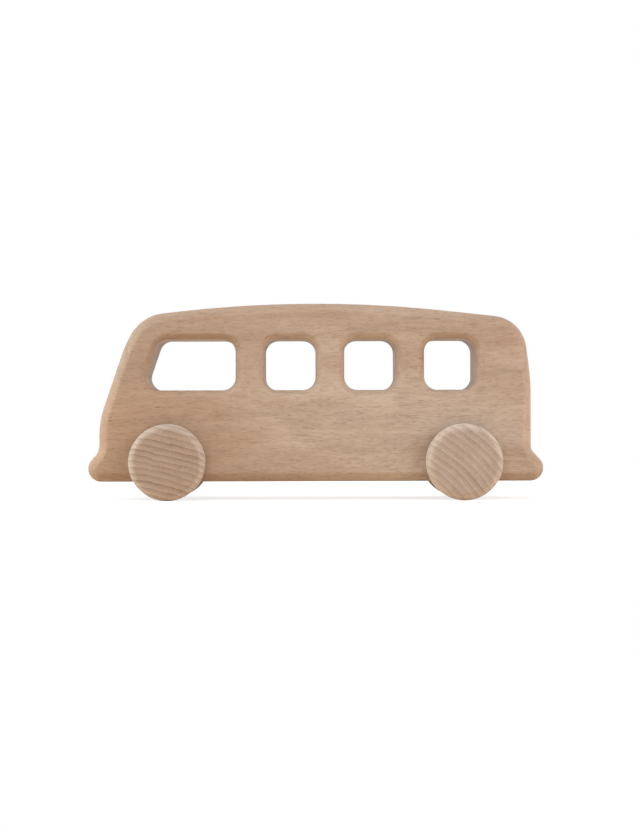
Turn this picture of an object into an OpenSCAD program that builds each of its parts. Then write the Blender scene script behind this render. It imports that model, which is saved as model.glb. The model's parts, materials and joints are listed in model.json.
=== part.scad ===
// Push-along wooden toy bus: a thick board sawn to shape, with routed windows and two turned wheelsets.
// The bus stands on the floor (Z = 0) with its front toward -X and its left side toward -Y.

/* [Body] */
// Length over both bumpers
body_len = 210; // [190:1:230]
// Height from the underside to the top of the roof
body_h = 82; // [68:0.5:100]
// Thickness of the board
body_t = 40; // [30:1:56]
// Height of the underside above the floor
ground_gap = 8.5; // [7:0.25:10]
// Round-over along every edge of the board
edge_r = 4; // [2:0.25:4.5]
// Radius of the slight outward bow of the slanting sides
bow_r = 1000; // [500:10:2000]

/* [Bumpers] */
// Radius of the tip of each bumper
bumper_r = 6; // [5.5:0.25:6.5]
// Slope of each bumper's upper flank, in degrees above level
bumper_slope = 47.5; // [44:0.5:52]
// Reach of the rear bumper beyond the rear wall
rear_bumper_out = 5.7; // [5:0.1:6.5]
// Reach of the front bumper beyond the nose
front_bumper_out = 5.2; // [4.5:0.1:6]
// Fillet between the rear bumper and the rear wall
rear_waist_r = 4; // [2:0.5:8]
// Fillet between the front bumper and the nose
front_waist_r = 8; // [4:0.5:10]

/* [Front] */
// Upright run of the nose above the front bumper
nose_run = 3.65; // [1:0.05:12]
// Radius between the nose and the windscreen
nose_r = 45; // [20:1:60]
// Lean of the windscreen from upright, in degrees
screen_lean = 19; // [16:0.5:21]
// Radius of the brow, where the windscreen bends back
brow_r = 48; // [20:1:70]
// Lean of the brow from upright, in degrees
brow_lean = 27; // [23:0.5:32]
// Run of the brow below the roof's front end
brow_run = 2.25; // [0.5:0.05:6]
// Radius between the brow and the roof
front_roof_r = 20; // [12:0.5:24]

/* [Roof and tail] */
// Share of the length over which the roof is bowed, to each side of its crown
roof_bow_share = 0.294; // [0.2:0.002:0.31]
// Slope of the roof toward both ends, in degrees
roof_slope = 6.3; // [4.5:0.1:8]
// Distance of the crown ahead of the middle
crown_ahead = 1.2; // [0:0.1:3]
// Radius between the roof and the tail
rear_roof_r = 16.5; // [8:0.5:22]
// Radius between the rear wall and the leaning tail
tail_r = 120; // [60:1:180]
// Lean of the tail from upright, in degrees
tail_lean = 7.9; // [5:0.1:10]
// Run of the leaning tail below the roof's rear end
tail_run = 6.35; // [1:0.05:12]

/* [Windows] */
// Number of square windows behind the front one
window_count = 3; // [1:1:3]
// Width of a square window
window_w = 23.5; // [18:0.5:24]
// Height of all windows
window_h = 23.5; // [18:0.5:26]
// Corner radius of all windows
window_r = 6; // [3:0.5:8]
// Depth of the window heads below the top of the roof
head_drop = 16.4; // [15:0.1:22]
// Width of the pillars between windows
pillar_w = 13.3; // [10:0.1:16]
// Width of the body behind the last window
tail_post_w = 25.7; // [18:0.1:28]
// Level width of the post ahead of the front window
screen_post_w = 14.8; // [12:0.1:18]

/* [Wheels and axles] */
// Distance of each axle from the end of the body
overhang = 37; // [28:0.5:50]
// Diameter of the wheels
wheel_d = 35; // [30:0.5:40]
// Thickness of the wheels
wheel_t = 12; // [10:0.5:18]
// Round-over of a wheel's outer edge
wheel_outer_r = 4; // [1:0.25:5]
// Round-over of a wheel's inner edge
wheel_inner_r = 2; // [0.5:0.25:4]
// Gap between a wheel and the side of the body
side_gap = 1; // [0.5:0.1:3]
// Diameter of the axle dowels
axle_d = 8; // [6:0.5:9]
// Bevel at the ends of the axle dowels
axle_bevel = 0.6; // [0.2:0.1:1.5]
// Depth of the blind holes in the wheels
hub_depth = 8; // [5:0.5:9]
// Radial clearance of the axles in the body
axle_play = 0.3; // [0.2:0.05:0.6]
// Radial clearance of the axles in the wheels, filled with glue
glue_play = 0.05; // [0.02:0.01:0.15]

/* [Hidden] */
$fa = 4;
$fs = 0.6;
smooth = 0.02; // how far the flats of a drawn arc may lie from the true curve
least_steps = 32;
body_tone = "#BC9F88";
wheel_tone = "#B8977A";
axle_tone = "#CBB08E";
overrun = 1; // how far cuts run past the faces that they open

// The body's edge is a band with the round-over, lapped by a flat core
band_lap = 0.8; // how far the core reaches into the band, and the band past the core
core_inset = edge_r + band_lap;
band_w = core_inset + band_lap;
tip_band_share = 0.95; // widest band round a tip, as a share of the tip's radius
tip_core_share = 0.85; // deepest core at a tip, as a share of the tip's radius
crossing = 0.01; // how far neighbouring bands cross where they join
least_slant = 0.001; // in degrees; a side that slants less is straight
planing = 0.02; // what is planed off both faces of a band, to the board's thickness

// Corners of the body's outline, worked out from the sizes above
underside = ground_gap;
tip_x = body_len / 2 - bumper_r + bumper_r / tan(bumper_slope / 2);
rear_x = body_len / 2 - rear_bumper_out;
nose_x = front_bumper_out - body_len / 2;
rear_waist_z = underside + (tip_x - rear_x) * tan(bumper_slope);
front_waist_z = underside + (tip_x + nose_x) * tan(bumper_slope);
roof_r = roof_bow_share * body_len / tan(roof_slope);
crown = [-crown_ahead, underside + body_h + roof_r * (1 / cos(roof_slope) - 1)];
nose_len = reach(front_waist_r, 90 - bumper_slope) + nose_run + reach(nose_r, screen_lean);
nose_corner = [nose_x, front_waist_z + nose_len];
front_roof_turn = 90 - brow_lean - roof_slope;
brow_len = reach(brow_r, brow_lean - screen_lean) + brow_run + reach(front_roof_r, front_roof_turn);
brow_step = brow_len * [sin(brow_lean), cos(brow_lean)];
brow_corner = meet(nose_corner, 90 - screen_lean, crown - brow_step, roof_slope);
rear_roof_turn = 90 - tail_lean - roof_slope;
tail_len = reach(tail_r, tail_lean) + tail_run + reach(rear_roof_r, rear_roof_turn);
tail_step = tail_len * [-sin(tail_lean), cos(tail_lean)];
tail_corner = meet([rear_x, underside], 90, crown - tail_step, 180 - roof_slope);

// Every outline is a list of corners [x, z, radius], walked with the wood on the left
body_outline = [
    [tip_x, underside, bumper_r],
    [rear_x, rear_waist_z, rear_waist_r],
    [each tail_corner, tail_r],
    [each tail_corner + tail_step, rear_roof_r],
    [each crown, roof_r],
    [each brow_corner + brow_step, front_roof_r],
    [each brow_corner, brow_r],
    [each nose_corner, nose_r],
    [nose_x, front_waist_z, front_waist_r],
    [-tip_x, underside, bumper_r],
];

// Windows, from the tail forward
head_z = underside + body_h - head_drop;
sill_z = head_z - window_h;
window_pitch = window_w + pillar_w;
last_window_x = rear_x - tail_post_w;
front_window_x = last_window_x - window_count * window_pitch;
screen_sill_x = nose_x + screen_post_w + (sill_z - nose_corner.y) * tan(screen_lean);
screen_head_x = screen_sill_x + window_h * tan(screen_lean);
windows = [
    for (i = [0:window_count - 1])
        let (x = last_window_x - i * window_pitch)
            window(x - window_w, x - window_w, x),
    window(screen_sill_x, screen_head_x, front_window_x),
];

// Wheels and axles
axle_z = wheel_d / 2;
front_axle_x = overhang - body_len / 2;
rear_axle_x = body_len / 2 - overhang;
wheel_y = body_t / 2 + side_gap;
axle_len = 2 * (wheel_y + hub_depth);
body_bore_d = axle_d + 2 * axle_play;
hub_bore_d = axle_d + 2 * glue_play;

// Where the line through p at angle a meets the line through q at angle b
function meet(p, a, q, b) =
    let (u = [cos(a), sin(a)], w = [cos(b), sin(b)])
        p + u * turned(q - p, w) / turned(u, w);

// How far the arc of a corner reaches along the sides, for its radius and turn
function reach(r, turn) = r * tan(turn / 2);

// Positive where w turns left from u
function turned(u, w) = u.x * w.y - u.y * w.x;

function unit(v) = v / norm(v);

// A window's outline, from the front ends of its sill and head to its rear edge
function window(sill_x, head_x, rear) = [
    [sill_x, sill_z, window_r],
    [head_x, head_z, window_r],
    [rear, head_z, window_r],
    [rear, sill_z, window_r],
];

// The arc at corner i of an outline: [centre, radius, turn, heading before, start, end]
function arc(path, i) =
    let (
        n = len(path),
        from = [path[(i + n - 1) % n].x, path[(i + n - 1) % n].y],
        at = [path[i].x, path[i].y],
        to = [path[(i + 1) % n].x, path[(i + 1) % n].y],
        r = path[i].z,
        u = unit(at - from),
        w = unit(to - at),
        turn = atan2(turned(u, w), u * w),
        back = reach(r, abs(turn)),
        start = at - u * back
    )
        [start + sign(turn) * r * [-u.y, u.x], r, turn, atan2(u.y, u.x), start, at + w * back];

// Where the arc starts, seen from its centre
function start_angle(a) = a[3] - sign(a[2]) * 90;

// Points just inside the band along an outline
function inner_points(path) = [
    for (i = [0:len(path) - 1])
        let (
            a = arc(path, i),
            out = a[2] > 0,
            r = out ? max(a[1] - core_inset, a[1] * (1 - tip_core_share)) : a[1] + core_inset,
            count = ceil(abs(a[2]) / (2 * acos(max(0, 1 - band_lap / 2 / r))))
        )
            for (k = [0:count - 1])
                let (t = start_angle(a) + a[2] * (k + 0.5) / count)
                    a[0] + r * [cos(t), sin(t)],
];

// Section across a band: its rounded edge stands on the outline, at x = 0
module band_section(w) {
    half = body_t / 2 + planing;
    flat = half - edge_r;
    intersection() {
        translate([0, -body_t / 2])
            square([w, body_t]);
        union() {
            translate([0, -flat])
                square([w, 2 * flat]);
            translate([edge_r, -half])
                square([w - edge_r, 2 * half]);
            for (side = [-1, 1])
                translate([edge_r, side * flat])
                    intersection() {
                        circle(edge_r, $fn = steps(edge_r));
                        translate([-edge_r, side > 0 ? 0 : -edge_r])
                            square(edge_r);
                    }
        }
    }
}

// Steps of a full turn that keep an arc smooth
function steps(r) = max(least_steps, ceil(180 / acos(1 - smooth / r)));

// A band swept round an arc; it bulges where the wood is on the side of the arc's centre
module swept_band(r, start, turn, w, bulges) {
    rotate_extrude(start = start, angle = turn, $fn = steps(r))
        translate([r, 0])
            mirror([bulges ? 1 : 0, 0])
                band_section(w);
}

// The band round one corner of an outline, which runs a little past the corner's ends if it bulges
module corner_band(a) {
    bulges = a[2] > 0;
    r = a[1] + crossing;
    w = bulges ? min(band_w, a[1] * tip_band_share) : band_w;
    past = bulges ? 2 * acos(a[1] / r) : 0;
    translate(a[0])
        swept_band(r, start_angle(a) + min(a[2], 0) - past, abs(a[2]) + 2 * past, w, bulges);
}

// How far a side runs into the hollow corner beside it
function run_in(a) = a[2] < 0 ? 2 * sqrt(2 * a[1] * crossing) : 0;

// The band along the side between two corners: straight if level or upright, slightly bowed if it slants
module side_band(a, b) {
    run = norm(b[4] - a[5]);
    level = 90 * round(b[3] / 90);
    slants = abs(b[3] - level) > least_slant;
    half_turn = asin(run / 2 / bow_r);
    start = b[3] - half_turn - run_in(a) / bow_r * 180 / PI - 90;
    turn = 2 * half_turn + (run_in(a) + run_in(b)) / bow_r * 180 / PI;
    translate(a[5])
        if (slants) {
            translate(bow_r * [-sin(b[3] - half_turn), cos(b[3] - half_turn)])
                swept_band(bow_r, start, turn, band_w, true);
        } else {
            rotate(level)
                translate([-run_in(a), 0])
                    rotate([90, 0, 90])
                        linear_extrude(run + run_in(a) + run_in(b))
                            band_section(band_w);
        }
}

module edge_band(path) {
    for (i = [0:len(path) - 1]) {
        corner_band(arc(path, i));
        side_band(arc(path, i), arc(path, (i + 1) % len(path)));
    }
}

// The board lying flat: a core with square edges, and bands with rounded ones
module board() {
    linear_extrude(body_t, center = true)
        difference() {
            polygon(inner_points(body_outline));
            for (w = windows)
                polygon(inner_points(w));
        }
    edge_band(body_outline);
    for (w = windows)
        edge_band(w);
}

module axle_bore(x) {
    translate([x, 0, axle_z])
        rotate([90, 0, 0])
            cylinder(d = body_bore_d, h = body_t + 2 * overrun, center = true);
}

module axle(x) {
    color(axle_tone)
        translate([x, axle_len / 2, axle_z])
            rotate([90, 0, 0]) {
                cylinder(r1 = axle_d / 2 - axle_bevel, r2 = axle_d / 2, h = axle_bevel);
                translate([0, 0, axle_bevel])
                    cylinder(d = axle_d, h = axle_len - 2 * axle_bevel);
                translate([0, 0, axle_len - axle_bevel])
                    cylinder(r1 = axle_d / 2, r2 = axle_d / 2 - axle_bevel, h = axle_bevel);
            }
}

// Half section of a wheel, with its inner face at y = 0
module wheel_section() {
    outer_x = wheel_d / 2 - wheel_outer_r;
    outer_y = wheel_t - wheel_outer_r;
    inner_x = wheel_d / 2 - wheel_inner_r;
    square([inner_x, wheel_inner_r]);
    translate([0, wheel_inner_r])
        square([wheel_d / 2, outer_y - wheel_inner_r]);
    translate([0, outer_y])
        square([outer_x, wheel_outer_r]);
    translate([outer_x, outer_y])
        intersection() {
            circle(wheel_outer_r);
            square(wheel_outer_r);
        }
    translate([inner_x, wheel_inner_r])
        intersection() {
            circle(wheel_inner_r);
            translate([0, -wheel_inner_r])
                square(wheel_inner_r);
        }
}

// side is -1 for the left of the bus and 1 for the right
module wheel(x, side) {
    color(wheel_tone)
        translate([x, side * wheel_y, axle_z])
            rotate([-side * 90, 0, 0])
                difference() {
                    rotate_extrude()
                        wheel_section();
                    translate([0, 0, -overrun])
                        cylinder(d = hub_bore_d, h = hub_depth + overrun);
                }
}

module body() {
    color(body_tone)
        difference() {
            rotate([90, 0, 0])
                board();
            axle_bore(front_axle_x);
            axle_bore(rear_axle_x);
        }
}

module front_axle() {
    axle(front_axle_x);
}

module rear_axle() {
    axle(rear_axle_x);
}

module front_left_wheel() {
    wheel(front_axle_x, -1);
}

module front_right_wheel() {
    wheel(front_axle_x, 1);
}

module rear_left_wheel() {
    wheel(rear_axle_x, -1);
}

module rear_right_wheel() {
    wheel(rear_axle_x, 1);
}

body();
front_axle();
rear_axle();
front_left_wheel();
front_right_wheel();
rear_left_wheel();
rear_right_wheel();
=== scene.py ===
import json
from math import acos, atan2, ceil, cos, pi, radians, sin, tan

import bpy
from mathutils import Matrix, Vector

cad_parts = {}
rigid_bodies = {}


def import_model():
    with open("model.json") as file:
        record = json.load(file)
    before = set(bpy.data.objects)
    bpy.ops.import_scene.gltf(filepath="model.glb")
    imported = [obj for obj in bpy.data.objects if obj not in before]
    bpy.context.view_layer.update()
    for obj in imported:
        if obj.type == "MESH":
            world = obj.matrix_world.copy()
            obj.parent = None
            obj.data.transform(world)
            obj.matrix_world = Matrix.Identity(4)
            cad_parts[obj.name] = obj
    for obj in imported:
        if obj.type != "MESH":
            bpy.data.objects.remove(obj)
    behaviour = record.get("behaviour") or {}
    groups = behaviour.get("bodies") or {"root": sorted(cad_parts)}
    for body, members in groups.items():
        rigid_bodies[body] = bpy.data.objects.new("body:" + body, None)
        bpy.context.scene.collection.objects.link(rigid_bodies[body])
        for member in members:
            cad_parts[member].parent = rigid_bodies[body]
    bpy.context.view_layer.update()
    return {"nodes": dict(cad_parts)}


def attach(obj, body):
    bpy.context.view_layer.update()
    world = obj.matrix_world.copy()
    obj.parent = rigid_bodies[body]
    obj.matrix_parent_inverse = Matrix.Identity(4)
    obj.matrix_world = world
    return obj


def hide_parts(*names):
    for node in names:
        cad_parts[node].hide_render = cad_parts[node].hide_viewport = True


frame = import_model()
mm = 0.001
closeBy = 0.01 * mm  # places nearer than this count as one
print("frame loaded:", sorted(frame["nodes"]))


# small helpers for modelling by operators

def startMesh(name):
    if bpy.context.object and bpy.context.object.mode != "OBJECT":
        bpy.ops.object.mode_set(mode="OBJECT")
    bpy.ops.object.select_all(action="DESELECT")
    print("modelling", name)


def editMode(kind="VERT"):
    bpy.ops.object.mode_set(mode="EDIT")
    bpy.ops.mesh.select_mode(type=kind)


def objectMode():
    bpy.ops.object.mode_set(mode="OBJECT")


def onlyThis(piece):
    bpy.ops.object.select_all(action="DESELECT")
    piece.select_set(True)
    bpy.context.view_layer.objects.active = piece


# picks edges or faces of the active mesh by a test on their place, and leaves it in edit mode
def pick(kind, test):
    editMode(kind)
    bpy.ops.mesh.select_all(action="DESELECT")
    objectMode()
    mesh = bpy.context.object.data
    parts = mesh.edges if kind == "EDGE" else mesh.polygons
    for part in parts:
        places = [mesh.vertices[i].co for i in part.vertices]
        part.select = all(test(p) for p in places)
    editMode(kind)


def finishPiece(piece, name, body, node, smoothAngle=35):
    objectMode()
    onlyThis(piece)
    bpy.ops.object.transform_apply(location=True, rotation=True, scale=True)
    bpy.ops.object.shade_smooth_by_angle(angle=radians(smoothAngle))
    bpy.ops.object.modifier_add(type="WEIGHTED_NORMAL")  # flats stay flat beside the round-overs
    piece.modifiers[-1].keep_sharp = True
    bpy.ops.object.modifier_apply(modifier=piece.modifiers[-1].name)
    piece.name = name
    piece.data.name = name
    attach(piece, body)
    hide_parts(node)
    return piece


# the board, sawn to the outline of a bus; lengths in mm, slopes and leans in degrees
board = {
    "length": 210,
    "height": 82,
    "thickness": 40,
    "clearance": 8.5,  # of the underside above the floor
    "roundOver": 4,
    "windowRoundOver": 3,
    "roundProfile": 0.33,  # 0.5 is a quarter round, 0.25 a flat chamfer
    "roundSteps": 8,
    "sharpAngle": 60,  # edges that turn more are rounded over
    "rimWidth": 4.4,  # flat strip of even faces along each outline
    "arcError": 0.01,  # how far a drawn arc may stray from the true one
    "bumperRadius": 6,
    "bumperSlope": 47.5,
    "rearBumperOut": 5.7,
    "frontBumperOut": 5.2,
    "rearWaistRadius": 4,
    "frontWaistRadius": 8,
    "noseRun": 3.65,
    "noseRadius": 45,
    "screenLean": 19,
    "browRadius": 48,
    "browLean": 27,
    "browRun": 2.25,
    "frontRoofRadius": 20,
    "roofBowShare": 0.294,
    "roofSlope": 6.3,
    "crownAhead": 1.2,
    "rearRoofRadius": 16.5,
    "tailRadius": 120,
    "tailLean": 7.9,
    "tailRun": 6.35,
    "windowCount": 3,
    "windowWidth": 23.5,
    "windowHeight": 23.5,
    "windowRadius": 6,
    "headDrop": 16.4,
    "pillar": 13.3,
    "tailPost": 25.7,
    "screenPost": 14.8,
    "overhang": 37,  # of the body beyond each axle
    "boreRadius": 4.3,
    "boreSides": 48,
}


# how far a corner's arc reaches along its sides
def reach(radius, turn):
    return radius * tan(radians(turn) / 2)


def heading(degrees):
    return Vector((cos(radians(degrees)), sin(radians(degrees))))


# where a line through p meets a line through q
def meet(p, pAngle, q, qAngle):
    u, w, gap = heading(pAngle), heading(qAngle), q - p
    return p + u * (gap.cross(w) / u.cross(w))


# outlines as corners of x, z and radius, walked with the wood on the left
def boardOutlines():
    b = board
    half, low, slope = b["length"] / 2, b["clearance"], b["bumperSlope"]
    tip = half - b["bumperRadius"] + b["bumperRadius"] / tan(radians(slope / 2))
    rear, nose = half - b["rearBumperOut"], b["frontBumperOut"] - half
    rearWaist = low + (tip - rear) * tan(radians(slope))
    frontWaist = low + (tip + nose) * tan(radians(slope))
    bowRadius = b["roofBowShare"] * b["length"] / tan(radians(b["roofSlope"]))
    bowRise = bowRadius * (1 / cos(radians(b["roofSlope"])) - 1)
    crown = Vector((-b["crownAhead"], low + b["height"] + bowRise))
    noseLength = reach(b["frontWaistRadius"], 90 - slope) + b["noseRun"]
    noseLength += reach(b["noseRadius"], b["screenLean"])
    noseCorner = Vector((nose, frontWaist + noseLength))
    browLength = reach(b["browRadius"], b["browLean"] - b["screenLean"]) + b["browRun"]
    browLength += reach(b["frontRoofRadius"], 90 - b["browLean"] - b["roofSlope"])
    browStep = browLength * heading(90 - b["browLean"])
    brow = meet(noseCorner, 90 - b["screenLean"], crown - browStep, b["roofSlope"])
    tailLength = reach(b["tailRadius"], b["tailLean"]) + b["tailRun"]
    tailLength += reach(b["rearRoofRadius"], 90 - b["tailLean"] - b["roofSlope"])
    tailStep = tailLength * heading(90 + b["tailLean"])
    tail = meet(Vector((rear, low)), 90, crown - tailStep, 180 - b["roofSlope"])
    outlines = [[
        (tip, low, b["bumperRadius"]),
        (rear, rearWaist, b["rearWaistRadius"]),
        (*tail, b["tailRadius"]),
        (*(tail + tailStep), b["rearRoofRadius"]),
        (*crown, bowRadius),
        (*(brow + browStep), b["frontRoofRadius"]),
        (*brow, b["browRadius"]),
        (*noseCorner, b["noseRadius"]),
        (nose, frontWaist, b["frontWaistRadius"]),
        (-tip, low, b["bumperRadius"]),
    ]]
    head = low + b["height"] - b["headDrop"]
    sill = head - b["windowHeight"]
    x = rear - b["tailPost"]
    for _ in range(b["windowCount"]):  # square windows, from the tail forward
        outlines.append(windowCorners(x - b["windowWidth"], x - b["windowWidth"], x, sill, head))
        x -= b["windowWidth"] + b["pillar"]
    lean = tan(radians(b["screenLean"]))
    sillFront = nose + b["screenPost"] + (sill - noseCorner.y) * lean
    outlines.append(windowCorners(sillFront, sillFront + b["windowHeight"] * lean, x, sill, head))
    return outlines


def windowCorners(sillFront, headFront, rear, sill, head):
    r = board["windowRadius"]
    return [(sillFront, sill, r), (headFront, head, r), (rear, head, r), (rear, sill, r)]


# the arcs round the corners of an outline, each with its centre, radius, turn, start and end
def cornerArcs(corners):
    arcs = []
    for i, (x, z, radius) in enumerate(corners):
        before, here = Vector(corners[i - 1][:2]), Vector((x, z))
        after = Vector(corners[(i + 1) % len(corners)][:2])
        came, goes = (here - before).normalized(), (after - here).normalized()
        turn = atan2(came.x * goes.y - came.y * goes.x, came.dot(goes))
        back = radius * tan(abs(turn) / 2)
        side = 1 if turn > 0 else -1
        start = here - came * back
        centre = start + side * radius * Vector((-came.y, came.x))
        arcs.append({"centre": centre, "radius": radius, "turn": turn, "side": side,
                     "start": start, "end": here + goes * back})
    return arcs


def flatPoint(p, depth):
    return Vector((p.x * mm, depth * mm, p.y * mm))


# draws one closed line in edit mode, vertex by vertex: a spin round each corner, an extrude along each side
def drawLine(arcs, inset, depth):
    for arc in arcs:
        newRadius = arc["radius"] - arc["side"] * inset
        arc["from"] = arc["centre"] + (arc["start"] - arc["centre"]) * newRadius / arc["radius"]
        arc["to"] = arc["centre"] + (arc["end"] - arc["centre"]) * newRadius / arc["radius"]
    bpy.ops.mesh.select_all(action="DESELECT")
    bpy.ops.mesh.primitive_plane_add(size=mm, location=flatPoint(arcs[0]["from"], depth))
    bpy.ops.mesh.merge(type="CENTER")
    for i, arc in enumerate(arcs):
        step = 2 * acos(1 - board["arcError"] / arc["radius"])
        bpy.ops.mesh.spin(steps=ceil(abs(arc["turn"]) / step), angle=arc["turn"],
                          center=flatPoint(arc["centre"], depth), axis=(0, 1, 0))
        run = arcs[(i + 1) % len(arcs)]["from"] - arc["to"]
        bpy.ops.mesh.extrude_region_move(TRANSFORM_OT_translate={"value": flatPoint(run, 0)})


# a flat strip along an outline, as wide as the rim, on the front face of the board
def rimStrip(corners, name):
    startMesh(name)
    front = -board["thickness"] / 2
    bpy.ops.mesh.primitive_plane_add(size=mm)
    strip = bpy.context.object
    core = strip.vertex_groups.new(name="core")
    whole = strip.vertex_groups.new(name=name)
    editMode()
    bpy.ops.mesh.delete(type="VERT")
    arcs = cornerArcs(corners)
    drawLine(arcs, 0, front)
    drawLine(arcs, board["rimWidth"], front)
    bpy.ops.mesh.select_linked()
    strip.vertex_groups.active = core
    bpy.ops.object.vertex_group_assign()
    bpy.ops.mesh.select_all(action="SELECT")
    strip.vertex_groups.active = whole
    bpy.ops.object.vertex_group_assign()
    bpy.ops.mesh.remove_doubles(threshold=closeBy)
    bpy.ops.mesh.select_mode(type="EDGE")
    bpy.ops.mesh.select_all(action="SELECT")
    bpy.ops.mesh.bridge_edge_loops()
    objectMode()
    return strip


def axlePlaces():
    x = board["length"] / 2 - board["overhang"]
    return [(-x, wheel["radius"]), (x, wheel["radius"])]


# rounds over the sharp edges of the strips of one name; the bores keep their sharp edges
def roundEdges(piece, group, offset):
    editMode("EDGE")
    bpy.ops.mesh.select_all(action="DESELECT")
    bpy.ops.mesh.edges_select_sharp(sharpness=radians(board["sharpAngle"]))
    objectMode()
    mesh, index = piece.data, piece.vertex_groups[group].index
    for edge in mesh.edges:
        ends = [mesh.vertices[i] for i in edge.vertices]
        if not all(index in [g.group for g in end.groups] for end in ends):
            edge.select = False
    editMode("EDGE")
    bpy.ops.mesh.bevel(offset=offset * mm, offset_type="OFFSET", segments=board["roundSteps"],
                       profile=board["roundProfile"], affect="EDGES")


def makeBody():
    outer, *windows = boardOutlines()
    strips = [rimStrip(outer, "outline")] + [rimStrip(corners, "windows") for corners in windows]
    bpy.ops.object.select_all(action="DESELECT")
    for strip in strips:
        strip.select_set(True)
    bpy.context.view_layer.objects.active = strips[0]
    bpy.ops.object.join()
    body = bpy.context.object
    body.vertex_groups.active = body.vertex_groups["core"]
    front = -board["thickness"] / 2 * mm
    editMode()
    bpy.ops.mesh.select_all(action="DESELECT")
    for x, z in axlePlaces():  # rings for the axle bores
        bpy.ops.mesh.primitive_circle_add(vertices=board["boreSides"], radius=board["boreRadius"] * mm,
                                          location=(x * mm, front, z * mm), rotation=(pi / 2, 0, 0))
        bpy.ops.object.vertex_group_assign()
    bpy.ops.mesh.select_all(action="DESELECT")
    bpy.ops.object.vertex_group_select()
    bpy.ops.mesh.fill(use_beauty=True)
    bpy.ops.mesh.select_mode(type="FACE")
    bpy.ops.mesh.select_all(action="SELECT")
    bpy.ops.mesh.extrude_region_move(
        TRANSFORM_OT_translate={"value": (0, board["thickness"] * mm, 0)})
    bpy.ops.mesh.select_all(action="SELECT")
    bpy.ops.mesh.normals_make_consistent(inside=False)
    roundEdges(body, "outline", board["roundOver"])
    roundEdges(body, "windows", board["windowRoundOver"])
    objectMode()
    body.vertex_groups.clear()
    return finishPiece(body, "busBody", "body", "body")


# a turned wheel with a blind hole, modelled once on the left of the bus
wheel = {
    "radius": 17.5,
    "thickness": 12,
    "sides": 96,
    "outerRound": 4,
    "outerSteps": 8,
    "innerRound": 2,
    "innerSteps": 5,
    "faceSteps": [3, 3, 3],  # rings inside the outer face
    "holeRadius": 4.05,
    "holeDepth": 8,
    "gap": 1,
}


def roundRing(test, offset, steps):
    pick("EDGE", test)
    bpy.ops.mesh.bevel(offset=offset * mm, offset_type="OFFSET", segments=steps, affect="EDGES")


def makeWheel():
    startMesh("wheel")
    inner = -(board["thickness"] / 2 + wheel["gap"]) * mm
    outer = inner - wheel["thickness"] * mm
    bpy.ops.mesh.primitive_cylinder_add(
        vertices=wheel["sides"], radius=wheel["radius"] * mm, depth=wheel["thickness"] * mm,
        location=(0, (inner + outer) / 2, wheel["radius"] * mm), rotation=(pi / 2, 0, 0))
    pattern = bpy.context.object
    bpy.ops.object.transform_apply(location=True, rotation=True, scale=True)
    roundRing(lambda p: abs(p.y - outer) < closeBy, wheel["outerRound"], wheel["outerSteps"])
    roundRing(lambda p: abs(p.y - inner) < closeBy, wheel["innerRound"], wheel["innerSteps"])
    pick("FACE", lambda p: abs(p.y - outer) < closeBy)
    for step in wheel["faceSteps"]:
        bpy.ops.mesh.inset(thickness=step * mm)
    pick("FACE", lambda p: abs(p.y - inner) < closeBy)
    bpy.ops.mesh.inset(thickness=(wheel["radius"] - wheel["innerRound"] - wheel["holeRadius"]) * mm)
    bpy.ops.mesh.extrude_region_move(
        TRANSFORM_OT_translate={"value": (0, -wheel["holeDepth"] * mm, 0)})
    objectMode()
    return pattern


# the dowel that two wheels are glued to
axle = {"radius": 4, "length": 58, "bevel": 0.6, "bevelSteps": 2, "sides": 48}


def makeAxle():
    startMesh("axle")
    bpy.ops.mesh.primitive_cylinder_add(
        vertices=axle["sides"], radius=axle["radius"] * mm, depth=axle["length"] * mm,
        location=(0, 0, wheel["radius"] * mm), rotation=(pi / 2, 0, 0))
    pattern = bpy.context.object
    bpy.ops.object.transform_apply(location=True, rotation=True, scale=True)
    end = axle["length"] / 2 * mm
    roundRing(lambda p: abs(p.y) > end - closeBy, axle["bevel"], axle["bevelSteps"])
    objectMode()
    return pattern


# a copy with its own mesh, moved along the bus and turned about the upright line through the bus's middle
def copyPattern(pattern, x, turn=0):
    onlyThis(pattern)
    bpy.ops.object.duplicate()
    piece = bpy.context.object
    piece.location.x = x * mm
    piece.rotation_euler.z = turn
    return piece


# frontLeftWheel stands for the node front_left_wheel
def nodeName(name):
    return "".join("_" + c.lower() if c.isupper() else c for c in name)


busBody = makeBody()
wheelPattern, axlePattern = makeWheel(), makeAxle()
wheels, axles = {}, {}
for end, (x, _) in zip(("front", "rear"), axlePlaces()):
    wheelset = end + "_wheelset"
    for side, turn in (("Left", 0), ("Right", pi)):
        name = end + side + "Wheel"
        piece = copyPattern(wheelPattern, x, turn)
        wheels[name] = finishPiece(piece, name, wheelset, nodeName(name))
    name = end + "Axle"
    axles[name] = finishPiece(copyPattern(axlePattern, x), name, wheelset, nodeName(name))
for pattern in (wheelPattern, axlePattern):
    onlyThis(pattern)
    bpy.ops.object.delete()


# small helpers for node trees

# gives a node's sockets their values or links
def feed(tree, node, sockets):
    for key, value in sockets.items():
        if isinstance(value, bpy.types.NodeSocket):
            tree.links.new(value, node.inputs[key])
        else:
            node.inputs[key].default_value = value
    return node


def put(tree, kind, sockets=None, **settings):
    node = tree.nodes.new("ShaderNode" + kind)
    for key, value in settings.items():
        setattr(node, key, value)
    return feed(tree, node, sockets or {})


def calc(tree, operation, a, b=0.0, c=0.0):
    return put(tree, "Math", {0: a, 1: b, 2: c}, operation=operation).outputs[0]


def vectorCalc(tree, operation, a, b):
    return put(tree, "VectorMath", {0: a, 1: b}, operation=operation).outputs[0]


def lengthOf(tree, vector):
    return put(tree, "VectorMath", {0: vector}, operation="LENGTH").outputs["Value"]


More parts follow.
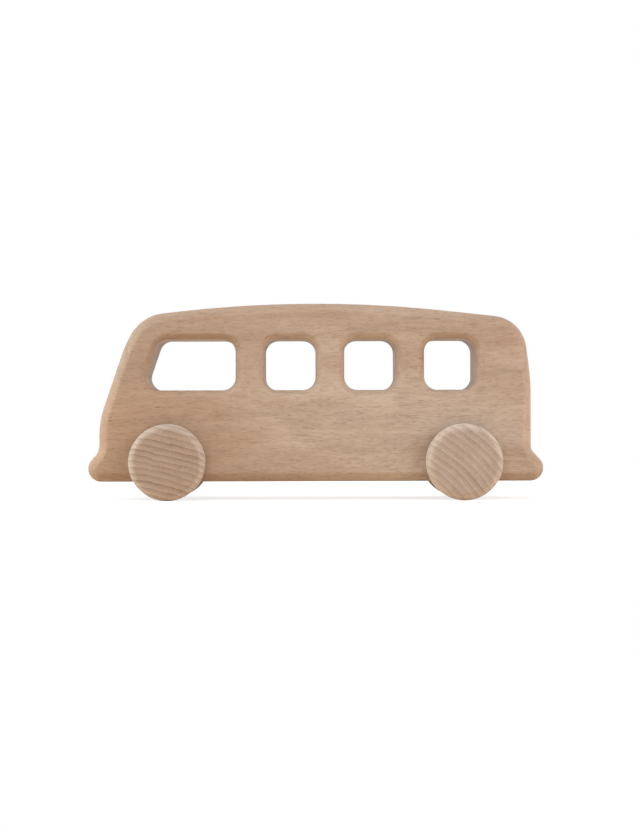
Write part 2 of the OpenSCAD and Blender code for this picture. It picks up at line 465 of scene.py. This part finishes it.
# a smooth step from 0 at low to 1 at high, and the other way round if low is the larger
def smoothStep(tree, value, low, high):
    node = put(tree, "MapRange", {"Value": value, "From Min": low, "From Max": high},
               interpolation_type="SMOOTHSTEP")
    return node.outputs["Result"]


def tint(tree, amount, under, over, kind="MIX"):
    node = put(tree, "Mix", {"Factor": amount, "A": under, "B": over}, data_type="RGBA", blend_type=kind)
    return node.outputs["Result"]


# a colour as read from a screen, 0 to 255, for a shader
def tone(*rgb):
    return (*[((c / 255 + 0.055) / 1.055) ** 2.4 for c in rgb], 1)


def newMaterial(name):
    material = bpy.data.materials.new(name)
    material.use_nodes = True
    material.node_tree.nodes.clear()
    return material, material.node_tree


def newGroup(name, inputs, outputs):
    group = bpy.data.node_groups.new(name, "ShaderNodeTree")
    for label, kind in inputs.items():
        group.interface.new_socket(label, in_out="INPUT", socket_type="NodeSocket" + kind)
    for label, kind in outputs.items():
        group.interface.new_socket(label, in_out="OUTPUT", socket_type="NodeSocket" + kind)
    return group, group.nodes.new("NodeGroupInput").outputs, group.nodes.new("NodeGroupOutput").inputs


def useGroup(tree, group, sockets):
    node = tree.nodes.new("ShaderNodeGroup")
    node.node_tree = group
    return feed(tree, node, sockets).outputs


# the next groups are what the woods share, in mm with the grain along X

# year rings round an axis along X: a thin dark line at the end of each ring, and a shade of its own
def makeRingsGroup():
    inputs = {"Vector": "Vector", "Spacing": "Float", "Waver": "Float", "Sharpness": "Float"}
    group, given, result = newGroup("yearRings", inputs, {"Line": "Float", "Shade": "Float"})
    slow = vectorCalc(group, "MULTIPLY", given["Vector"], (0.011, 0.045, 0.045))
    drift = put(group, "TexNoise", {"Vector": slow, "Scale": 1, "Detail": 3, "Roughness": 0.45})
    across = vectorCalc(group, "MULTIPLY", given["Vector"], (0, 1, 1))
    wavered = calc(group, "MULTIPLY", calc(group, "SUBTRACT", drift.outputs[0], 0.5), given["Waver"])
    count = calc(group, "DIVIDE", calc(group, "ADD", lengthOf(group, across), wavered), given["Spacing"])
    share = calc(group, "FRACT", count)
    rise = calc(group, "POWER", share, given["Sharpness"])
    group.links.new(calc(group, "MULTIPLY", rise, smoothStep(group, share, 1.0, 0.9)), result["Line"])
    ringNoise = put(group, "TexWhiteNoise", {"W": calc(group, "FLOOR", count)}, noise_dimensions="1D")
    group.links.new(ringNoise.outputs["Value"], result["Shade"])
    return group


# fine fibres along the grain; a bias leaves fewer of them, standing apart, and softness blurs their sides
def makeFibreGroup():
    inputs = {"Vector": "Vector", "Length": "Float", "Thickness": "Float", "Bias": "Float",
              "Softness": "Float"}
    group, given, result = newGroup("woodFibres", inputs, {"Fibre": "Float"})
    size = put(group, "CombineXYZ", {0: given["Length"], 1: given["Thickness"], 2: given["Thickness"]})
    scaled = vectorCalc(group, "DIVIDE", given["Vector"], size.outputs[0])
    noise = put(group, "TexNoise", {"Vector": scaled, "Scale": 1, "Detail": 4, "Roughness": 0.6})
    level = calc(group, "SUBTRACT", noise.outputs[0], given["Bias"])
    low, high = calc(group, "SUBTRACT", 0.5, given["Softness"]), calc(group, "ADD", 0.5, given["Softness"])
    group.links.new(smoothStep(group, level, low, high), result["Fibre"])
    return group


# short dark ray flecks, of which only the given share is seen
def makeFleckGroup():
    inputs = {"Vector": "Vector", "Cell": "Vector", "Share": "Float"}
    group, given, result = newGroup("rayFlecks", inputs, {"Fleck": "Float"})
    scaled = vectorCalc(group, "DIVIDE", given["Vector"], given["Cell"])
    cells = put(group, "TexVoronoi", {"Vector": scaled, "Scale": 1, "Randomness": 1})
    chance = put(group, "SeparateColor", {0: cells.outputs["Color"]}).outputs[0]
    size = put(group, "MapRange", {"Value": chance, "From Min": calc(group, "SUBTRACT", 1, given["Share"]),
                                   "From Max": 1, "To Min": 0, "To Max": 0.42}).outputs["Result"]
    edge = calc(group, "DIVIDE", cells.outputs["Distance"], calc(group, "ADD", size, 0.0001))
    group.links.new(smoothStep(group, edge, 1.0, 0.35), result["Fleck"])
    return group


# wood made lighter or darker by its grain, and redder where it is darker
def makeGrainGroup():
    group, given, result = newGroup("grainTone", {"Wood": "Color", "Value": "Float"}, {"Colour": "Color"})
    value = calc(group, "MAXIMUM", given["Value"], 0.2)
    factor = put(group, "CombineColor", {0: value, 1: calc(group, "POWER", value, 1.15),
                                         2: calc(group, "POWER", value, 1.3)})
    group.links.new(tint(group, 1, given["Wood"], factor.outputs[0], "MULTIPLY"), result["Colour"])
    return group


yearRings, woodFibres, rayFlecks = makeRingsGroup(), makeFibreGroup(), makeFleckGroup()
grainTone = makeGrainGroup()


# sums up marks of the grain, each as a mask, its strength and its usual mean, into a value about 1
def grainValue(tree, marks):
    value = 1 + sum(strength * mean for _, strength, mean in marks)
    for mask, strength, _ in marks:
        value = calc(tree, "MULTIPLY_ADD", mask, -strength, value)
    return value


# object coordinates in mm, moved so that centre is the origin and turned about it
def grainSpace(tree, centre=(0, 0, 0), turn=(0, 0, 0)):
    place = put(tree, "TexCoord").outputs["Object"]
    inMm = vectorCalc(tree, "SUBTRACT", vectorCalc(tree, "MULTIPLY", place, (1000, 1000, 1000)), centre)
    turned = put(tree, "Mapping", {"Vector": inMm, "Rotation": [radians(a) for a in turn]})
    return turned.outputs[0]


# lets straight grain wander up and down, by waves that each have a length and a height
def wander(tree, vector, *waves):
    for length, height in waves:
        slow = vectorCalc(tree, "DIVIDE", vector, (length, length, length))
        noise = put(tree, "TexNoise", {"Vector": slow, "Scale": 1, "Detail": 2}).outputs["Color"]
        swing = vectorCalc(tree, "SUBTRACT", noise, (0.5, 0.5, 0.5))
        vector = vectorCalc(tree, "ADD", vector, vectorCalc(tree, "MULTIPLY", swing, (0, height, height)))
    return vector


# 0 on the outer faces, which lie at this distance from the middle plane, and 1 where it is cut deeper
def cutEdges(tree, face, shallow, deep):
    y = put(tree, "SeparateXYZ", {0: grainSpace(tree)}).outputs[1]
    depth = calc(tree, "SUBTRACT", face, calc(tree, "ABSOLUTE", y))
    return smoothStep(tree, depth, shallow, deep)


# slow changes of tone, in patches as long, deep and high as given in mm
def patches(tree, vector, size, low, high):
    scaled = vectorCalc(tree, "DIVIDE", vector, size)
    noise = put(tree, "TexNoise", {"Vector": scaled, "Scale": 1, "Detail": 2})
    return smoothStep(tree, noise.outputs[0], low, high)


# 1 about the middle of a stretch of this size, 0 beyond it, and further out where the cloud is 1
def nearby(tree, vector, middle, size, cloud):
    offset = vectorCalc(tree, "DIVIDE", vectorCalc(tree, "SUBTRACT", vector, middle), size)
    away = calc(tree, "MULTIPLY_ADD", cloud, -0.5, lengthOf(tree, offset))
    return smoothStep(tree, away, 1.0, 0.0)


# 1 about the windows, out to a margin in mm, and 0 near the board's own outline
def windowZone(tree, margin):
    _, *windows = boardOutlines()
    corners = [corner for window in windows for corner in window]
    lean = tan(radians(board["screenLean"]))
    x, _, z = put(tree, "SeparateXYZ", {0: grainSpace(tree)}).outputs
    slanted = calc(tree, "MULTIPLY_ADD", z, -lean, x)  # even along the slanted window's front
    front = min(cx - cz * lean for cx, cz, _ in corners)
    rear = max(cx for cx, _, _ in corners)
    low, high = min(cz for _, cz, _ in corners), max(cz for _, cz, _ in corners)
    zone = smoothStep(tree, slanted, front - margin, front)
    for value, outer, inner in ((x, rear + margin, rear), (z, low - margin, low), (z, high + margin, high)):
        zone = calc(tree, "MULTIPLY", zone, smoothStep(tree, value, outer, inner))
    return zone


# a matt shader with these settings, put out as the material's surface
def woodSurface(tree, colour, finish, **more):
    shader = put(tree, "BsdfPrincipled", {"Base Color": colour, **finish, **more})
    put(tree, "OutputMaterial", {"Surface": shader.outputs[0]})


# sanded faces; raised fibres give a sheen that pales edges seen at a slant
sandedFinish = {"Roughness": 0.55, "Specular IOR Level": 0.25, "Sheen Weight": 0.5, "Sheen Roughness": 0.35}

boardWood = {
    "pale": (180, 159, 142),
    "brown": (162, 137, 118),
    "warm": (165, 136, 113),
    "paleMiddle": (32, 0, 36),  # the board is palest about here
    "paleSize": (102, 70, 46),
    "warmMiddle": (-78, 0, 26),  # and warmest about here
    "warmSize": (60, 70, 32),
    "clouds": ((48, 40, 15), 0.3, 0.7),  # patches that break up both zones
    "cutEdge": (254, 251, 246),  # router-cut edges a little browner, partly a painted shade for the darker start of the round-overs
    "cutDepth": (0.02, 0.3),
    "paintedWallShade": (255, 238, 214),  # painted warm shade on the window walls, standing in for light bounced between them
    "wallDepth": (3, 6),
    "wallMargin": 4,
    "grainTilt": (0, 1, 0),
    "grainWaves": ((70, 7), (10, 0.9)),
    "pith": (0, 62, 40),  # middle of the year rings, behind the board
    "pithTilt": (0, 1.5, 2),
    "pithWaves": ((60, 9), (16, 1.5)),
    "ringSizes": {"Spacing": 7.5, "Waver": 5, "Sharpness": 4},
    "fineSizes": {"Length": 3.4, "Thickness": 0.45, "Bias": 0.08, "Softness": 0.1},
    "streakSizes": {"Length": 9, "Thickness": 1.1, "Softness": 0.2},
    "bandSizes": {"Length": 60, "Thickness": 4, "Softness": 0.2},
    "dashSizes": {"Cell": (3.4, 9, 0.7), "Share": 0.9},
    "fleckSizes": {"Cell": (5.5, 14, 0.9), "Share": 0.4},
    "fleckZones": ((50, 30, 20), 0.3, 0.6),
    "bands": (0.1, 0.5),  # strength and usual mean of this mark, and of the next five
    "streaks": (0.12, 0.5),
    "fine": (0.22, 0.25),
    "rings": (0.14, 0.15),
    "dashes": (0.2, 0.15),
    "flecks": (0.26, 0.02),
    "fineRelief": 0.6,  # against 1 for the flecks
    "bump": {"Strength": 0.12, "Distance": 0.0002},
}


def makeBoardWood():
    w, face = boardWood, board["thickness"] / 2
    material, tree = newMaterial("beechBoard")
    straight = grainSpace(tree, turn=w["grainTilt"])
    grain = wander(tree, straight, *w["grainWaves"])
    pith = wander(tree, grainSpace(tree, w["pith"], w["pithTilt"]), *w["pithWaves"])
    rings = useGroup(tree, yearRings, {"Vector": pith, **w["ringSizes"]})["Line"]
    fine = useGroup(tree, woodFibres, {"Vector": grain, **w["fineSizes"]})["Fibre"]
    streaks = useGroup(tree, woodFibres, {"Vector": grain, **w["streakSizes"]})["Fibre"]
    bands = useGroup(tree, woodFibres, {"Vector": grain, **w["bandSizes"]})["Fibre"]
    dashes = useGroup(tree, rayFlecks, {"Vector": grain, **w["dashSizes"]})["Fleck"]
    flecks = useGroup(tree, rayFlecks, {"Vector": grain, **w["fleckSizes"]})["Fleck"]
    zoned = calc(tree, "MULTIPLY", flecks, patches(tree, straight, *w["fleckZones"]))
    cloud = patches(tree, straight, *w["clouds"])
    pale = nearby(tree, straight, w["paleMiddle"], w["paleSize"], cloud)
    warm = nearby(tree, straight, w["warmMiddle"], w["warmSize"], cloud)
    wood = tint(tree, pale, tone(*w["brown"]), tone(*w["pale"]))
    wood = tint(tree, warm, wood, tone(*w["warm"]))
    # partly painted shade: the round-overs made a little browner than the faces
    edges = cutEdges(tree, face, *w["cutDepth"])
    wood = tint(tree, edges, wood, tone(*w["cutEdge"]), "MULTIPLY")
    # painted shade: deep inside the windows the wood is made warmer and darker, as bounced light would make
    # it
    deep = cutEdges(tree, face, *w["wallDepth"])
    shadedWalls = calc(tree, "MULTIPLY", deep, windowZone(tree, w["wallMargin"]))
    wood = tint(tree, shadedWalls, wood, tone(*w["paintedWallShade"]), "MULTIPLY")
    value = grainValue(tree, [(bands, *w["bands"]), (streaks, *w["streaks"]), (fine, *w["fine"]),
                              (rings, *w["rings"]), (dashes, *w["dashes"]), (zoned, *w["flecks"])])
    colour = useGroup(tree, grainTone, {"Wood": wood, "Value": value})["Colour"]
    height = calc(tree, "ADD", calc(tree, "MULTIPLY", fine, w["fineRelief"]), flecks)
    bump = put(tree, "Bump", {"Height": height, **w["bump"]})
    woodSurface(tree, colour, sandedFinish, Normal=bump.outputs[0])
    return material


# each wheel is cut from another stick: its rings run at an angle of their own, in tones of their own
wheelWood = {
    # each rim tone is paler than its flat tone: a painted highlight on the outer round-over
    "frontLeftWheel": {
        "flat": (160, 137, 120), "rim": (176, 156, 141), "turn": 14, "wavy": 2.2, "rings": (0.4, 0.3),
        "ringSizes": {"Spacing": 2.7, "Waver": 6, "Sharpness": 1.8},
    },
    "rearLeftWheel": {
        "flat": (170, 151, 137), "rim": (187, 167, 151), "turn": 42, "wavy": 0.5, "rings": (0.27, 0.3),
        "ringSizes": {"Spacing": 3, "Waver": 2, "Sharpness": 1.1},
    },
    "frontRightWheel": {
        "flat": (166, 145, 129), "rim": (183, 163, 148), "turn": -62, "wavy": 1.6, "rings": (0.34, 0.3),
        "ringSizes": {"Spacing": 2.6, "Waver": 4, "Sharpness": 1.7},
    },
    "rearRightWheel": {
        "flat": (163, 140, 124), "rim": (181, 161, 145), "turn": -21, "wavy": 2, "rings": (0.38, 0.3),
        "ringSizes": {"Spacing": 2.8, "Waver": 6, "Sharpness": 2},
    },
    "pithDistance": 80,  # from the wheel's middle to the middle of its year rings
    "apart": 7,  # mm along the stick for each degree of turn, so that no two wheels are alike
    "wavyLength": 11,
    "ripple": (4, 0.5),
    "poreSizes": {"Length": 6, "Thickness": 0.5, "Softness": 0.2},
    "raySizes": {"Length": 3, "Thickness": 0.5, "Softness": 0.2},
    "blotchSizes": ((30, 9, 3), 0.3, 0.7),
    "rimDepth": (0, 1),
    "ringStrength": (0.6, 0.8),  # of the faintest line, and what the darkest has more
    "blotches": (0.1, 0.5),
    "pores": (0.16, 0.5),
    "rays": (0.14, 0.5),
    "bump": {"Strength": 0.15, "Distance": 0.0002},
}


# end grain: the rings are seen face on, as lines across the wheel
def makeWheelWood(name, x):
    w, own = wheelWood, wheelWood[name]
    material, tree = newMaterial("beechEndGrain" + name[0].upper() + name[1:])
    centred = grainSpace(tree, (x, 0, wheel["radius"]), (0, -own["turn"], 0))
    swung = put(tree, "Mapping", {"Vector": centred, "Rotation": (0, 0, pi / 2)}).outputs[0]
    shifted = vectorCalc(tree, "ADD", swung, (w["apart"] * own["turn"], 0, w["pithDistance"]))
    pith = wander(tree, shifted, (w["wavyLength"], own["wavy"]), w["ripple"])
    rings = useGroup(tree, yearRings, {"Vector": pith, **own["ringSizes"]})
    pores = useGroup(tree, woodFibres, {"Vector": swung, **w["poreSizes"]})["Fibre"]
    across = put(tree, "Mapping", {"Vector": shifted, "Rotation": (0, pi / 2, 0)}).outputs[0]
    rays = useGroup(tree, woodFibres, {"Vector": across, **w["raySizes"]})["Fibre"]
    faintest, more = w["ringStrength"]
    strength = calc(tree, "MULTIPLY_ADD", rings["Shade"], more, faintest)
    lines = calc(tree, "MULTIPLY", rings["Line"], strength)
    blotches = patches(tree, shifted, *w["blotchSizes"])
    face = board["thickness"] / 2 + wheel["gap"] + wheel["thickness"]
    # painted highlight: the rim, the outer round-over, is paler than the flat face
    wood = tint(tree, cutEdges(tree, face, *w["rimDepth"]), tone(*own["flat"]), tone(*own["rim"]))
    value = grainValue(tree, [(lines, *own["rings"]), (blotches, *w["blotches"]), (pores, *w["pores"]),
                              (rays, *w["rays"])])
    colour = useGroup(tree, grainTone, {"Wood": wood, "Value": value})["Colour"]
    bump = put(tree, "Bump", {"Height": rings["Line"], **w["bump"]})
    woodSurface(tree, colour, sandedFinish, Normal=bump.outputs[0])
    return material


axleWood = {
    "light": (208, 183, 152),
    "dark": (172, 138, 104),
    "pithDistance": 30,
    "ringSizes": {"Spacing": 2.4, "Waver": 1, "Sharpness": 2},
    "fineSizes": {"Length": 12, "Thickness": 0.5, "Softness": 0.2},
    "fleckSizes": {"Cell": (5, 9, 1.1), "Share": 0.5},
    "fine": 0.35,  # strengths of the three kinds of mark
    "rings": 0.4,
    "flecks": 0.5,
    "finish": {"Roughness": 0.6, "Specular IOR Level": 0.3},
}


# straight-grained dowel, with its grain along the axle
def makeAxleWood():
    w = axleWood
    material, tree = newMaterial("beechDowel")
    along = grainSpace(tree, turn=(0, 0, 90))
    pith = vectorCalc(tree, "ADD", along, (0, 0, w["pithDistance"]))
    fine = useGroup(tree, woodFibres, {"Vector": along, **w["fineSizes"]})["Fibre"]
    flecks = useGroup(tree, rayFlecks, {"Vector": along, **w["fleckSizes"]})["Fleck"]
    rings = useGroup(tree, yearRings, {"Vector": pith, **w["ringSizes"]})["Line"]
    colour = tone(*w["light"])
    for mark, strength in ((fine, w["fine"]), (rings, w["rings"]), (flecks, w["flecks"])):
        colour = tint(tree, calc(tree, "MULTIPLY", mark, strength), colour, tone(*w["dark"]))
    woodSurface(tree, colour, w["finish"])
    return material


def dress(piece, material):
    piece.data.materials.clear()
    piece.data.materials.append(material)


dress(busBody, makeBoardWood())
for end, (x, _) in zip(("front", "rear"), axlePlaces()):
    for side in ("Left", "Right"):
        name = end + side + "Wheel"
        dress(wheels[name], makeWheelWood(name, x))
dowelWood = makeAxleWood()
for piece in axles.values():
    dress(piece, dowelWood)
print("woods made:", [m.name for m in bpy.data.materials if m.name.startswith("beech")])


# a white studio: floor, room, lamps and camera; lengths in m
studio = {
    "floorSize": 6,
    "floorGlow": 0.74,  # part of the floor's white near the object that shadows don't reach
    "floorNear": (0.25, 0.6),  # beyond this the floor is plain white
    "floorTone": (0.93, 0.74, 0.53, 1),  # what the floor throws back at the object
    "floorSeen": (0.45, 0.45, 0.45, 1),  # what of the lamps' light is seen on it
    "roomLight": 0.05,
    "lamps": {
        "top": {"place": (0, -0.3, 1.25), "size": 1.4, "watts": 9.4, "colour": (1, 1, 1)},
        "left": {"place": (-1.42, -0.1, 0.5), "size": 1, "watts": 20, "colour": (0.9, 0.98, 1)},
        "front": {"place": (-0.4, -1.5, 0.5), "size": 1, "watts": 4.9, "colour": (1, 1, 1)},
        "right": {"place": (1.42, -0.08, 0.5), "size": 1, "watts": 7.2, "colour": (1, 0.98, 1)},
        "rightFront": {"place": (1, -1.2, 0.5), "size": 1, "watts": 9.4, "colour": (1, 1, 1)},
        "rightBack": {"place": (0.9, 1.1, 0.55), "size": 1, "watts": 5, "colour": (1, 1, 1)},
        "leftBack": {"place": (-0.9, 1.1, 0.55), "size": 1, "watts": 5, "colour": (1, 1, 1)},
    },
    "aim": (0, 0, 0.045),
    "lens": 99.55,
    "clipStart": 0.01,
    "distance": 1.05,  # from the camera to the near side of the board
    "eyeHeight": 0.04,
    "eyeAside": 0.0009,
    "roll": 0.16,  # degrees; the photograph stands that little askew
}


def makeStudio():
    startMesh("studio")
    bpy.ops.mesh.primitive_plane_add(size=studio["floorSize"])
    floor = bpy.context.object
    floor.name = "studioFloor"
    floor.data.materials.append(floorMaterial())
    for name, lamp in studio["lamps"].items():
        bpy.ops.object.light_add(type="AREA", location=lamp["place"])
        light = bpy.context.object
        light.name = name + "Lamp"
        light.data.shape = "DISK"
        light.data.size = lamp["size"]
        light.data.energy = lamp["watts"]
        light.data.color = lamp["colour"]
        light.visible_camera = False
        aim = Vector(studio["aim"]) - light.location
        light.rotation_euler = aim.to_track_quat("-Z", "Y").to_euler()
    away = studio["distance"] + board["thickness"] / 2 * mm
    bpy.ops.object.camera_add(location=(studio["eyeAside"], -away, studio["eyeHeight"]),
                              rotation=(pi / 2, radians(studio["roll"]), 0))
    camera = bpy.context.object
    camera.data.lens = studio["lens"]
    camera.data.clip_start = studio["clipStart"]
    scene = bpy.context.scene
    scene.camera = camera
    scene.view_settings.view_transform = "Standard"


# 1 for rays that see the background: from the camera, or by way of a gloss or a glass
def seenDirectly(tree):
    rays = put(tree, "LightPath").outputs
    bent = calc(tree, "MAXIMUM", rays["Is Glossy Ray"], rays["Is Transmission Ray"])
    return calc(tree, "MAXIMUM", rays["Is Camera Ray"], bent)


# white to the camera, with the object's shadow left in it
def floorMaterial():
    material, tree = newMaterial("whiteFloor")
    paper = put(tree, "BsdfDiffuse", {"Color": studio["floorTone"]})
    seenPaper = put(tree, "BsdfDiffuse", {"Color": studio["floorSeen"]})
    glow = put(tree, "Emission", {"Color": (1, 1, 1, 1), "Strength": studio["floorGlow"]})
    near = put(tree, "AddShader", {0: seenPaper.outputs[0], 1: glow.outputs[0]})
    far = put(tree, "Emission", {"Color": (1, 1, 1, 1), "Strength": 1})
    away = lengthOf(tree, put(tree, "TexCoord").outputs["Object"])
    seen = put(tree, "MixShader", {0: smoothStep(tree, away, *studio["floorNear"]), 1: near.outputs[0],
                                   2: far.outputs[0]})
    mix = put(tree, "MixShader", {0: seenDirectly(tree), 1: paper.outputs[0], 2: seen.outputs[0]})
    put(tree, "OutputMaterial", {"Surface": mix.outputs[0]})
    return material


def makeWorld():
    world = bpy.data.worlds.new("studioRoom")
    bpy.context.scene.world = world
    world.use_nodes = True
    tree = world.node_tree
    tree.nodes.clear()
    room = put(tree, "Background", {"Color": (1, 1, 1, 1), "Strength": studio["roomLight"]})
    white = put(tree, "Background", {"Color": (1, 1, 1, 1), "Strength": 1})
    mix = put(tree, "MixShader", {0: seenDirectly(tree), 1: room.outputs[0], 2: white.outputs[0]})
    put(tree, "OutputWorld", {"Surface": mix.outputs[0]})


makeStudio()
makeWorld()
print("studio ready")
